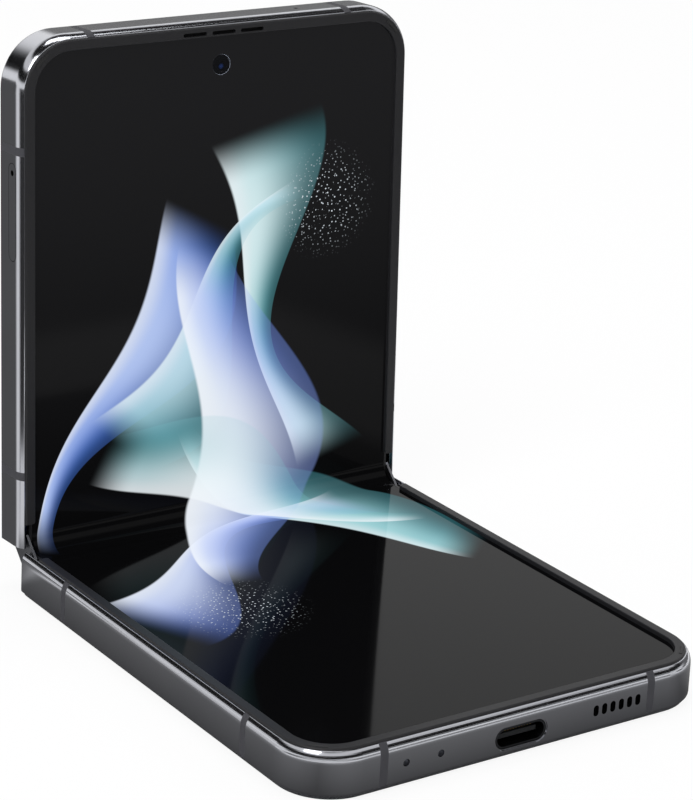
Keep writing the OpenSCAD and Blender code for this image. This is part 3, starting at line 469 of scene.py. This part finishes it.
# Silk ribbons of light: middle across and along, half length and half width, turn, sway,
# twist, edge colour, heart colour, strength. One unit is 100 mm on the flat display, and
# 0 is the fold.
RIBBONS = (
    ((-0.165, 0.235), (0.300, 0.085), 62, 0.55, 0.3, "4f7fe0", "b9cdfb", 0.88),
    ((0.150, -0.060), (0.300, 0.085), 128, 0.50, 2.2, "4f9da8", "a9dde2", 0.90),
    ((-0.060, -0.150), (0.320, 0.105), 24, 0.60, 4.0, "6f8fee", "d3defa", 0.90),
    ((0.120, 0.340), (0.300, 0.105), 104, 0.45, 5.3, "63b4be", "d8f0f3", 0.92),
    ((-0.010, 0.330), (0.260, 0.080), 48, 0.65, 3.1, "5fb3c4", "c6e7f2", 0.80),
    ((0.010, 0.090), (0.360, 0.115), 84, 0.70, 1.4, "7f9cf0", "eaf1fb", 0.92),
    ((0.060, 0.010), (0.300, 0.070), 152, 0.60, 0.9, "7cc3cb", "eef7fb", 0.75),
)
DUST = (((0.205, 0.500), 0.105), ((-0.165, -0.330), 0.120))


def display_glass():
    """Dark glossy screen with silk ribbons of light over black, laid out on the flat display."""
    finish = Finish("display glass", "050506", 0.06,
                    Specular_IOR_Level=0.035, Emission_Strength=1.0)
    place = finish.unfolded_place()
    _, along, _ = finish.axes(place)
    picture = finish.mix(along.ramp(-0.1, 0.8), linear("030303"), linear("1c1c1d"))

    for middle, half_axes, turn, sway, twist, edge, heart, strength in RIBBONS:
        inner = finish.node("ShaderNodeMapping", {"vector_type": "TEXTURE"}, {
            "Vector": place, "Location": (*middle, 0), "Rotation": (0, 0, math.radians(turn)),
            "Scale": (*half_axes, 1)})
        run, across, _ = finish.axes(inner)
        width = (run * 2.3 + twist).sine() * 0.45 + 0.62
        off = (across + (run * 3.1 + twist).sine() * sway) / width
        cover = off.size().ramp(0.94, 1.0, 1.0, 0.0) * run.size().ramp(0.72, 1.0, 1.0, 0.0)
        shade = (off + (run * 5.2 + twist).sine() * 0.4).ramp(-1.1, 1.1)
        colour = finish.mix(shade, linear(edge), linear(heart))
        colour = finish.mix(off.ramp(0.55, 1.0) * 0.55, colour, linear("f4f8fc"))
        picture = finish.mix(cover * (off.ramp(-1.0, 0.6, 0.25, 1.0) * strength), picture, colour)
    specks = finish.node("ShaderNodeTexVoronoi", {"voronoi_dimensions": "2D"},
                         {"Vector": place, "Scale": 130.0, "Randomness": 1.0})
    chance = finish.noise(260, 0, place)
    for middle, reach in DUST:
        away = finish.node("ShaderNodeVectorMath", {"operation": "DISTANCE"},
                           {0: place, 1: (*middle, 0)}, "Value")
        lit = specks.below(0.17) * chance.ramp(0.45, 0.6) * away.ramp(reach * 0.2, reach, 1.0, 0.0)
        picture = finish.mix(lit * 0.9, picture, linear("dfe8ef"))
    finish.put("Emission Color", picture)
    return finish


def cover_screen():
    """The small rear display, dark when it is off."""
    finish = Finish("cover screen", "060608", 0.2)
    cloud = finish.noise(30, 2)
    finish.put("Roughness", 0.15 + cloud * 0.1)
    finish.tint(cloud.ramp(0.4, 0.8), "0b0c10")
    return finish


# ---------------------------------------------------------------- making pieces

def pick_nothing():
    if bpy.context.object and bpy.context.object.mode != "OBJECT":
        bpy.ops.object.mode_set(mode="OBJECT")
    bpy.ops.object.select_all(action="DESELECT")


def begin_edit(piece):
    """Opens a piece in edit mode with nothing selected."""
    pick_nothing()
    bpy.context.view_layer.objects.active = piece
    piece.select_set(True)
    bpy.ops.object.mode_set(mode="EDIT")
    bpy.ops.mesh.select_mode(type="VERT")
    bpy.ops.mesh.select_all(action="DESELECT")


def select_vertices(piece, wanted):
    """Selects the vertices whose place, in millimetres, passes the test."""
    bpy.ops.mesh.select_mode(type="VERT")
    bpy.ops.mesh.select_all(action="DESELECT")
    mesh = bmesh.from_edit_mesh(piece.data)
    for vertex in mesh.verts:
        vertex.select = bool(wanted(vertex.co / MM))
    mesh.select_flush_mode()
    bmesh.update_edit_mesh(piece.data)


def select_faces(piece, wanted):
    """Selects the faces whose normal passes the test."""
    bpy.ops.mesh.select_mode(type="FACE")
    bpy.ops.mesh.select_all(action="DESELECT")
    mesh = bmesh.from_edit_mesh(piece.data)
    mesh.normal_update()
    for face in mesh.faces:
        face.select = bool(wanted(face.normal))
    bmesh.update_edit_mesh(piece.data)


def end_edit():
    bpy.ops.object.mode_set(mode="OBJECT")


def settle(piece):
    """Puts a piece's place into its mesh, so that the object sits at the origin."""
    pick_nothing()
    bpy.context.view_layer.objects.active = piece
    piece.select_set(True)
    bpy.ops.object.transform_apply(location=True, rotation=True, scale=True)


def apply_modifier(piece, kind, **settings):
    pick_nothing()
    bpy.context.view_layer.objects.active = piece
    piece.select_set(True)
    modifier = piece.modifiers.new(kind.lower(), kind)
    for name, value in settings.items():
        setattr(modifier, name, value)
    bpy.ops.object.modifier_apply(modifier=modifier.name)


def dress(piece, name, finish, smooth=30):
    """Names a finished piece and gives it its material."""
    piece.name = name
    piece.data.name = name
    piece.data.materials.clear()
    piece.data.materials.append(finish.material)
    pick_nothing()
    bpy.context.view_layer.objects.active = piece
    piece.select_set(True)
    bpy.ops.object.shade_smooth_by_angle(angle=math.radians(smooth))
    return piece


def join(pieces):
    pick_nothing()
    for piece in pieces:
        piece.select_set(True)
    bpy.context.view_layer.objects.active = pieces[0]
    bpy.ops.object.join()
    return bpy.context.object


FOLD_MIDDLE = lower_point(0, FOLD_START, DISPLAY_HEIGHT + FOLD_RADIUS)


def along_display(point):
    """Distance along the flat display from the fold, in millimetres, of a place on the bent one."""
    place = point / MM
    from_middle = place - FOLD_MIDDLE / MM
    if from_middle.y < 0:
        return place.y - HALF_MIDDLE
    if upper_along(place) > FOLD_START:
        return upper_along(place)
    return FOLD_RADIUS * (math.atan2(from_middle.y, -from_middle.z) - HALF_FOLD)


def display_sheet(is_upper):
    """One half of the bending display: flat panel, then the fold as far as its middle."""
    flat = PANEL_END - FOLD_START
    pick_nothing()
    bpy.ops.mesh.primitive_plane_add(size=1)
    sheet = bpy.context.object
    if is_upper:
        sheet.location = upper_point(0, (PANEL_END + FOLD_START) / 2, DISPLAY_HEIGHT)
        sheet.rotation_euler = (2 * HALF_FOLD, 0, 0)
    else:
        sheet.location = lower_point(0, (PANEL_END + FOLD_START) / 2, DISPLAY_HEIGHT)
    sheet.scale = (2 * PANEL_HALF_WIDTH * MM, flat * MM, 1)
    settle(sheet)
    begin_edit(sheet)

    def from_fold(place):
        return upper_along(place) if is_upper else HALF_MIDDLE - place.y

    select_vertices(sheet, lambda p: from_fold(p) > PANEL_END - 1)
    bpy.ops.mesh.bevel(offset=PANEL_CORNER * MM, segments=20, affect="VERTICES")
    select_vertices(sheet, lambda p: from_fold(p) < FOLD_START + 0.01)
    bpy.ops.mesh.select_mode(type="EDGE")
    bpy.ops.mesh.spin(steps=14, angle=HALF_FOLD if is_upper else -HALF_FOLD,
                      center=FOLD_MIDDLE, axis=(1, 0, 0))
    bpy.ops.mesh.select_all(action="SELECT")
    bpy.ops.mesh.remove_doubles(threshold=1e-6)
    bpy.ops.mesh.normals_make_consistent(inside=False)
    end_edit()
    return sheet


def finish_sheet(sheet, name, finish):
    """Turns the sheet's face to the user, gives it its thickness and lays out its picture."""
    facing = sum(p.area * (p.normal.z - p.normal.y) for p in sheet.data.polygons)
    if facing < 0:
        begin_edit(sheet)
        bpy.ops.mesh.select_all(action="SELECT")
        bpy.ops.mesh.flip_normals()
        end_edit()
    apply_modifier(sheet, "SOLIDIFY", thickness=PANEL_THICKNESS * MM, offset=-1.0)
    flat_map = sheet.data.uv_layers.new(name="unfolded")
    for loop in sheet.data.loops:
        place = sheet.data.vertices[loop.vertex_index].co
        flat_map.data[loop.index].uv = (place.x * UV_PER_METRE,
                                        along_display(place) * MM * UV_PER_METRE)
    return dress(sheet, name, finish, smooth=20)


def cut_round_hole(piece, centre, radius, depth):
    """Drills through a piece of the upper half."""
    pick_nothing()
    bpy.ops.mesh.primitive_cylinder_add(vertices=64, radius=radius * MM, depth=depth * MM,
                                        location=centre, rotation=(2 * HALF_FOLD, 0, 0))
    drill = bpy.context.object
    settle(drill)
    apply_modifier(piece, "BOOLEAN", operation="DIFFERENCE", object=drill, solver="EXACT")
    bpy.data.objects.remove(drill)


def lens_stack(centre, radius, depth, outward, steps):
    """A round glass on the upper half whose outward face is stepped in by inset and push."""
    pick_nothing()
    bpy.ops.mesh.primitive_cylinder_add(vertices=96, radius=radius * MM, depth=depth * MM,
                                        location=centre, rotation=(2 * HALF_FOLD, 0, 0))
    lens = bpy.context.object
    settle(lens)
    begin_edit(lens)
    select_faces(lens, lambda normal: normal.dot(outward) > 0.9)
    for inset, push in steps:
        bpy.ops.mesh.inset(thickness=inset * MM, use_even_offset=True)
        bpy.ops.transform.translate(value=outward * push * MM)
    end_edit()
    return lens


# ---------------------------------------------------------------- the phone

graphite = graphite_metal()
side_key_metal = graphite_metal("key metal", "8c8d92", 0.14)
spine_metal = graphite_metal("spine metal", "86878c", 0.18)
cap_metal = graphite_metal("cap metal", "6f7074", 0.35)
bands = band_plastic()
bezel = bezel_plastic()
guard_plastic = bezel_plastic("guard plastic", "1b1b1d", 0.36)
rubber = black_rubber()
frosted = back_glass()
window = cover_glass()
plate = alloy_plate()
steel = bright_steel()
# painted shade: a darkened copy of the bright steel stands in for the shade deep inside the port
port_steel_painted_shade = bright_steel("port steel in painted shade", "3c3d40")
gear = gear_steel()
spring = spring_steel()
wrap = cell_wrap()
coil = copper_coil()
board = board_green()
plastic = inner_plastic()
mesh_screen = woven_mesh()
flash = light_lens()
screen = display_glass()
small_screen = cover_screen()
gold = contact_gold()
rear_centres = [upper_point(REAR_CAMERA_X, along, 0) for along in REAR_CAMERAS]
rear_lens = lens_glass("rear lens", rear_centres, RING_INNER)
front_centre = upper_point(0, FRONT_CAMERA, 0)
front_lens = lens_glass("front lens", [front_centre], CAMERA_HOLE, 0.2)

NODE_FINISHES = {
    graphite: ("lower_frame", "upper_frame", "sim_tray", "volume_key", "camera_rings"),
    side_key_metal: ("side_key",),
    spine_metal: ("spine_cover",),
    cap_metal: ("spine_end_caps",),
    bands: ("lower_antenna_bands", "upper_antenna_bands"),
    bezel: ("lower_bezel", "upper_bezel"),
    guard_plastic: ("lower_edge_guards", "upper_edge_guards"),
    rubber: ("lower_bumpers", "upper_bumpers"),
    frosted: ("lower_back_glass", "upper_back_glass"),
    window: ("cover_window",),
    plate: ("lower_midplate", "upper_midplate", "lower_display_plate", "upper_display_plate"),
    port_steel_painted_shade: ("usb_port_shell",),
    steel: ("board_shields", "sim_socket", "lower_screws", "upper_screws",
            "spine_screws", "gear_pins", "lower_hinge_rotors", "upper_hinge_rotors", "rotor_guides",
            "gear_carriers", "bottom_microphones", "vibration_motor", "key_switches"),
    gear: ("lower_gear_arms", "upper_gear_arms", "lower_idler_gears", "upper_idler_gears"),
    spring: ("hinge_springs",),
    wrap: ("lower_battery", "upper_battery"),
    coil: ("charging_coil",),
    board: ("lower_board", "main_board"),
    plastic: ("usb_port_tongue", "loudspeaker", "earpiece", "rear_cameras"),
    mesh_screen: ("speaker_mesh", "earpiece_mesh"),
    flash: ("flash_lens",),
    screen: ("display_lower", "display_upper", "display_fold"),
    small_screen: ("cover_display",),
    rear_lens: ("camera_lenses",),
    front_lens: ("front_camera",),
}
for finish, nodes in NODE_FINISHES.items():
    for node in nodes:
        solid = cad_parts[node]
        solid.data.materials.clear()
        solid.data.materials.append(finish.material)

# the display: two sheets that meet in the middle of the fold
lower_sheet = display_sheet(False)
finish_sheet(lower_sheet, "lower_display_sheet", screen)
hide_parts("display_lower", "display_fold")
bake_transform(lower_sheet)
upper_sheet = display_sheet(True)
finish_sheet(upper_sheet, "upper_display_sheet", screen)
cut_round_hole(upper_sheet, upper_point(0, FRONT_CAMERA, DISPLAY_HEIGHT), CAMERA_HOLE, 4)
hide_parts("display_upper")
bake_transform(upper_sheet)

# front camera: a flush window over a stepped lens
# each step of a glass is an inset and a push outward
FRONT_STEPS = ((0.12, 0.0), (0.35, -0.02), (0.45, -0.05), (0.25, 0.03))
front = lens_stack(upper_point(0, FRONT_CAMERA, DISPLAY_HEIGHT - 0.13),
                   CAMERA_HOLE - 0.02, 0.24, UPPER_FACE, FRONT_STEPS)
dress(front, "front_camera_window", front_lens)
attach(front, "upper_half")

# rear cameras: stepped cover glasses in their rings
REAR_STEPS = ((0.5, 0.0), (0.12, -0.12), (0.9, 0.0), (0.12, -0.14), (1.0, 0.0), (0.3, 0.1))
rear = join([lens_stack(upper_point(REAR_CAMERA_X, along, -0.015), RING_INNER, 1.53,
                        -UPPER_FACE, REAR_STEPS)
             for along in REAR_CAMERAS])
dress(rear, "rear_camera_glasses", rear_lens)
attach(rear, "upper_half")
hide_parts("camera_lenses")

# USB-C contacts: twelve plated strips on each face of the tongue
CONTACT_COUNT = 12
CONTACT_PITCH = 0.5
CONTACT_ALONG = 78.2
CONTACT_OFF = 0.36          # from the tongue's middle plane
strips = []
for face in (-1, 1):
    for i in range(CONTACT_COUNT):
        pick_nothing()
        x = (i - (CONTACT_COUNT - 1) / 2) * CONTACT_PITCH
        place = lower_point(x, CONTACT_ALONG, USB_HEIGHT + face * CONTACT_OFF)
        bpy.ops.mesh.primitive_cube_add(size=1, location=place)
        strip = bpy.context.object
        strip.scale = (0.26 * MM, 3.6 * MM, 0.04 * MM)
        settle(strip)
        apply_modifier(strip, "BEVEL", width=0.012 * MM, segments=2)
        strips.append(strip)
contacts = join(strips)
dress(contacts, "usb_contacts", gold)
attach(contacts, "lower_half")

# ---------------------------------------------------------------- floor, light and camera

# shades of the floor in reflections, over a rim of RIM_WIDTH round the lower half: a painted
# shadow, dark at the phone's edge and bright further out
NEAR_GLOW_PAINTED_SHADOW = ((0.0, 0.05), (0.10, 0.12), (0.36, 0.30), (0.50, 0.95), (1.0, 0.95))
# and further to the left, by turn from the front left round to behind
LEFT_GLOW = ((0.0, 0.01), (0.30, 0.01), (0.40, 0.95), (0.60, 0.95), (0.74, 0.25), (0.90, 0.09),
             (1.0, 0.08))
# shades of the world by height, on the left and front, and behind to the right
LEFT_WORLD = ((0.0, 1.0), (0.11, 1.0), (0.18, 0.01), (0.43, 0.01), (0.50, 0.80), (0.72, 0.80),
              (0.80, 0.01))
RIGHT_WORLD = ((0.0, 0.16), (0.29, 0.16), (0.36, 0.95), (0.58, 0.95), (0.66, 0.01), (1.0, 0.01))
RIM_WIDTH = 60
FOLD_LEFT_END = (-36, 43)   # the shades to the left go by the turn about this place
LIGHT_STRENGTH = 1.7        # of floor and world, for every ray but the camera's


def studio_floor():
    """Pale floor: near white to the camera, shadowed by the phone, and toned down in reflections,
    where a painted shadow makes it dark under the phone's edge; bright to its left and black
    towards the front left."""
    pick_nothing()
    bpy.ops.mesh.primitive_plane_add(size=6, location=(0, 0, -0.0001))
    floor = bpy.context.object
    floor.name = "studio_floor"
    material = bpy.data.materials.new("studio floor")
    material.use_nodes = True
    material.node_tree.nodes.clear()
    graph = Graph(material.node_tree)
    x, y, _ = graph.axes(graph.object_place())
    outside = (x.size() / MM - HALF_WIDTH).larger(y.size() / MM - HALF_MIDDLE)
    # painted shadow in the floor's reflected glow, darkest at the phone's edge
    ring = graph.grey_steps(outside / RIM_WIDTH, NEAR_GLOW_PAINTED_SHADOW)
    turn = (y / MM - FOLD_LEFT_END[1]) / ((x / MM - FOLD_LEFT_END[0]).size() + 1)
    left = graph.grey_steps(turn * 0.5 + 0.25, LEFT_GLOW)
    far = graph.mix((x / MM).ramp(-40, -30), left, (0.1, 0.1, 0.1, 1))
    is_far = outside.ramp(RIM_WIDTH, RIM_WIDTH + 20).larger((y / MM).ramp(44, 56))
    shade = graph.mix(is_far, ring, far)
    seen = graph.node("ShaderNodeLightPath", output="Is Camera Ray")
    reflected = graph.node("ShaderNodeLightPath", output="Is Glossy Ray")
    paint = graph.node("ShaderNodeBsdfDiffuse", None, {"Color": (0.86, 0.86, 0.87, 1)})
    glow = graph.node("ShaderNodeEmission", None,
                      {"Color": graph.mix(seen, shade, (1, 1, 1, 1)),
                       "Strength": LIGHT_STRENGTH - seen * (LIGHT_STRENGTH - 1)})
    share = seen * 0.9 + reflected * 0.95
    mix = graph.node("ShaderNodeMixShader", None, {0: share, 1: paint, 2: glow})
    graph.node("ShaderNodeOutputMaterial", None, {"Surface": mix}, None)
    floor.data.materials.append(material)


def studio_world():
    """Light round the horizon and dark overhead; the camera sees plain white."""
    world = bpy.data.worlds.new("studio")
    bpy.context.scene.world = world
    world.use_nodes = True
    graph = Graph(world.node_tree)
    x, y, z = graph.axes(graph.node("ShaderNodeTexCoord", output="Generated"))
    seen = graph.node("ShaderNodeLightPath", output="Is Camera Ray")
    light = graph.mix((x + y).ramp(0.55, 0.95), graph.grey_steps(z, LEFT_WORLD),
                      graph.grey_steps(z, RIGHT_WORLD))
    background = graph.tree.nodes["Background"]
    graph.fill(background.inputs["Color"], graph.mix(seen, light, (1, 1, 1, 1)))
    graph.fill(background.inputs["Strength"], LIGHT_STRENGTH - seen * (LIGHT_STRENGTH - 1))


def soft_box(name, place, target, width, height, power):
    """A soft area light, in metres and watts."""
    lamp = bpy.data.lights.new(name, "AREA")
    lamp.shape = "RECTANGLE"
    lamp.size = width
    lamp.size_y = height
    lamp.energy = power
    box = bpy.data.objects.new(name, lamp)
    bpy.context.scene.collection.objects.link(box)
    box.location = place
    box.rotation_euler = (Vector(target) - Vector(place)).to_track_quat("-Z", "Y").to_euler()


studio_floor()
studio_world()
soft_box("left_soft_box", (-0.75, -0.35, 0.85), (0, 0, 0.03), 0.5, 0.5, 6.0)
soft_box("top_soft_box", (0.15, 0.25, 1.1), (0, 0, 0.03), 0.7, 0.4, 5.0)

camera = bpy.data.objects.new("camera", bpy.data.cameras.new("camera"))
bpy.context.scene.collection.objects.link(camera)
camera.data.sensor_width = 36
camera.data.lens = 129.09
camera.data.shift_x = 0.05296
camera.data.shift_y = -0.28591
camera.data.clip_start = 0.01
camera.data.clip_end = 20
CAMERA_TARGET = Vector((0.486, 20.75, 70.217)) * MM
CAMERA_AZIMUTH, CAMERA_ELEVATION, CAMERA_ROLL = -0.6002, 0.2648, 0.0463
CAMERA_DISTANCE = 437.05 * MM
view_line = Vector((-math.sin(CAMERA_AZIMUTH) * math.cos(CAMERA_ELEVATION),
                    math.cos(CAMERA_AZIMUTH) * math.cos(CAMERA_ELEVATION),
                    -math.sin(CAMERA_ELEVATION)))
turn = view_line.to_track_quat("-Z", "Y").to_matrix() @ Matrix.Rotation(CAMERA_ROLL, 3, "Z")
stand = Matrix.Translation(CAMERA_TARGET - view_line * CAMERA_DISTANCE)
camera.matrix_world = stand @ turn.to_4x4()
bpy.context.scene.camera = camera
bpy.context.scene.view_settings.view_transform = "Standard"
